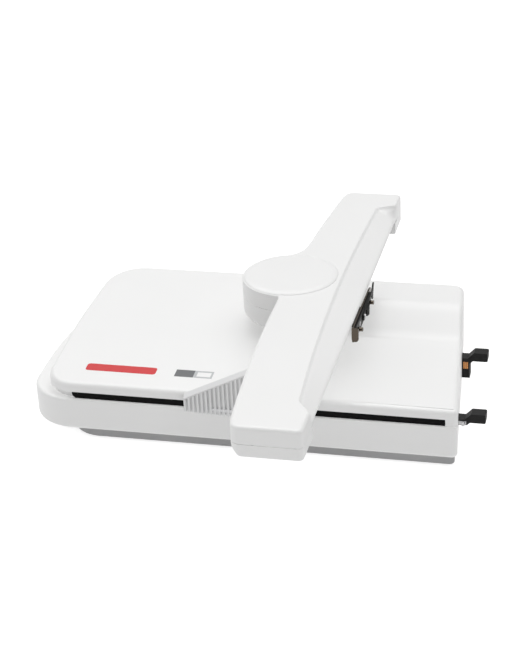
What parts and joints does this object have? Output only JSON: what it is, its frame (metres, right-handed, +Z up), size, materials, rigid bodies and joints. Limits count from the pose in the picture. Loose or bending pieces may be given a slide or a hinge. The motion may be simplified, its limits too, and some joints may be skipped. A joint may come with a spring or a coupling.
{
  "type": "embroidery module",
  "caption": "Flat motor-driven embroidery unit: a long arm slides sideways over a low housing and a hoop coupler slides along the arm, with hooks for the sewing machine.",
  "frame": {"origin": "on the table, at the foot under the middle of the housing", "axes": "+Z up, +X towards the sewing machine that the module hooks on to, +Y away from the operator, along the arm"},
  "size_m": [0.4546, 0.528, 0.1275],
  "materials": {
    "dark_plastic": "matte",
    "white_shell": "fine satin gloss",
    "grey_plastic": "moulded matte",
    "black_plastic": "moulded matte",
    "black_rubber": "matte",
    "steel": "bright",
    "bright_metal": "polished dark",
    "frame_metal": "satin",
    "motor_black": "satin black",
    "bush_bronze": "sintered",
    "contact_copper": "bright",
    "board_green": "solder mask",
    "mark_red": "printed",
    "mark_grey": "printed",
    "mark_silver": "printed"
  },
  "bodies": {
    "housing": {"base_tray": "dark_plastic", "rubber_feet": "black_rubber", "lower_shell": "white_shell", "left_cover": "white_shell", "right_cover": "white_shell", "slot_seals": "black_rubber", "case_screws": "steel", "x_rods": "steel", "rod_blocks": "grey_plastic", "x_motor": "motor_black", "motor_bracket": "steel", "idler_bracket": "steel", "main_board": "board_green", "board_posts": "steel", "machine_plug": "black_plastic", "wiring_loom": "black_rubber", "x_home_sensor": "black_plastic", "front_hook": "black_plastic", "front_hook_pin": "steel", "rear_hook": "black_plastic", "contact_strip": "contact_copper", "colour_bar": "mark_red", "badge_plate": "mark_grey", "badge_frame": "mark_silver", "x_belt": "black_rubber"},
    "arm_carriage": {"x_slider": "black_plastic", "x_bushes": "bush_bronze", "x_belt_clamp": "grey_plastic", "slot_tongue": "steel", "ribbed_foot": "grey_plastic", "foot_screws": "steel", "arm_lower_shell": "white_shell", "arm_upper_shell": "white_shell", "hub_cap": "white_shell", "arm_frame": "frame_metal", "y_rods": "steel", "y_motor": "motor_black", "y_belt": "black_rubber", "belt_guides": "steel", "idler_posts": "steel", "arm_screws": "steel", "y_home_sensor": "black_plastic"},
    "hoop_carriage": {"y_slider": "black_plastic", "y_bushes": "bush_bronze", "y_belt_clamp": "grey_plastic", "coupler_plate": "bright_metal", "coupler_block": "black_plastic", "hoop_pins": "bright_metal", "coupler_screws": "steel", "latch_pivot": "steel"},
    "latch": {"latch_lever": "black_plastic"},
    "x_drive": {"x_drive_pulley": "grey_plastic"},
    "x_idler": {"x_idler_pulley": "grey_plastic"},
    "y_drive": {"y_drive_pulley": "grey_plastic"},
    "y_front_roller": {"y_front_idler": "grey_plastic"},
    "y_rear_roller": {"y_rear_idler": "grey_plastic"}
  },
  "joints": [
    {"name": "arm_slide", "type": "slide", "parent": "housing", "child": "arm_carriage", "axis": [1, 0, 0], "range_m": [-0.11, 0.1]},
    {"name": "hoop_slide", "type": "slide", "parent": "arm_carriage", "child": "hoop_carriage", "axis": [0, 1, 0], "range_m": [-0.2, 0.2]},
    {"name": "latch_hinge", "type": "hinge", "parent": "hoop_carriage", "child": "latch", "pos_m": [0.099, 0.002, 0.103], "axis": [1, 0, 0], "range_deg": [0, 8], "stiffness_Nm_per_rad": 0.05},
    {"name": "x_drive_turn", "type": "hinge", "parent": "housing", "child": "x_drive", "pos_m": [-0.16, -0.012, 0.03], "axis": [0, 0, 1], "range_deg": [-700, 700]},
    {"name": "x_idler_turn", "type": "hinge", "parent": "housing", "child": "x_idler", "pos_m": [0.158, -0.012, 0.03], "axis": [0, 0, 1], "range_deg": [-700, 700]},
    {"name": "y_drive_turn", "type": "hinge", "parent": "arm_carriage", "child": "y_drive", "pos_m": [0.002, 0.0405, 0.108], "axis": [0, 0, 1], "range_deg": [-900, 900]},
    {"name": "y_front_idler_turn", "type": "hinge", "parent": "arm_carriage", "child": "y_front_roller", "pos_m": [0.044, -0.229, 0.108], "axis": [0, 0, 1], "range_deg": [-2000, 2000]},
    {"name": "y_rear_idler_turn", "type": "hinge", "parent": "arm_carriage", "child": "y_rear_roller", "pos_m": [0.044, 0.229, 0.108], "axis": [0, 0, 1], "range_deg": [-2000, 2000]}
  ],
  "couplings": [
    {"joint": "x_drive_turn", "follows": "arm_slide", "rad_per_m": 101.83},
    {"joint": "x_idler_turn", "follows": "arm_slide", "rad_per_m": 101.83},
    {"joint": "y_drive_turn", "follows": "hoop_slide", "rad_per_m": 69.832},
    {"joint": "y_front_idler_turn", "follows": "hoop_slide", "rad_per_m": 166.67},
    {"joint": "y_rear_idler_turn", "follows": "hoop_slide", "rad_per_m": 166.67}
  ]
}
